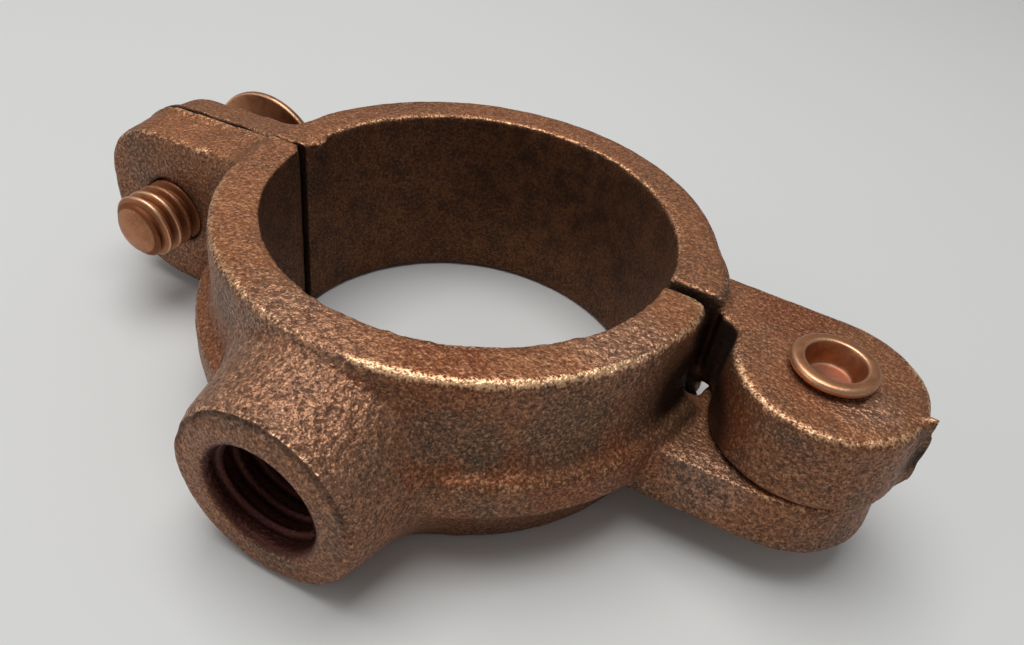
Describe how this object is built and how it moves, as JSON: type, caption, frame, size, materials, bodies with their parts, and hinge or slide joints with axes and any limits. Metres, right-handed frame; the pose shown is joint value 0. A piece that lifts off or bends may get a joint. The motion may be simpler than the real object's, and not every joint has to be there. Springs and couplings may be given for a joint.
{
  "type": "split ring hanger",
  "caption": "Hinged split ring hanger for copper tube: a copper-coated cast ring with a tapped rod boss, a riveted hinge and a clamping screw.",
  "frame": {"origin": "middle of the pipe bore, half way up the ring", "axes": "+Z along the pipe; -Y along the hanger rod, out of the boss; +X towards the hinge rivet; the screw ears are on -X"},
  "size_m": [0.0781, 0.0512, 0.0186],
  "materials": {
    "coated_casting": "copper-coated sand casting, grainy, worn bright on its edges",
    "coated_fastener": "copper-plated steel, smooth and slightly dull"
  },
  "bodies": {
    "socket": {"socket_half": "coated_casting", "hinge_rivet": "coated_fastener"},
    "clamp": {"clamp_half": "coated_casting"},
    "screw": {"clamp_screw": "coated_fastener"}
  },
  "joints": [
    {"name": "ring_hinge", "type": "hinge", "parent": "socket", "child": "clamp", "pos_m": [0.0318, 0, 0], "axis": [0, 0, -1], "range_deg": [0, 260]},
    {"name": "screw_travel", "type": "slide", "parent": "clamp", "child": "screw", "axis": [0, 1, 0], "range_m": [-0.00405, 0.0112]}
  ]
}
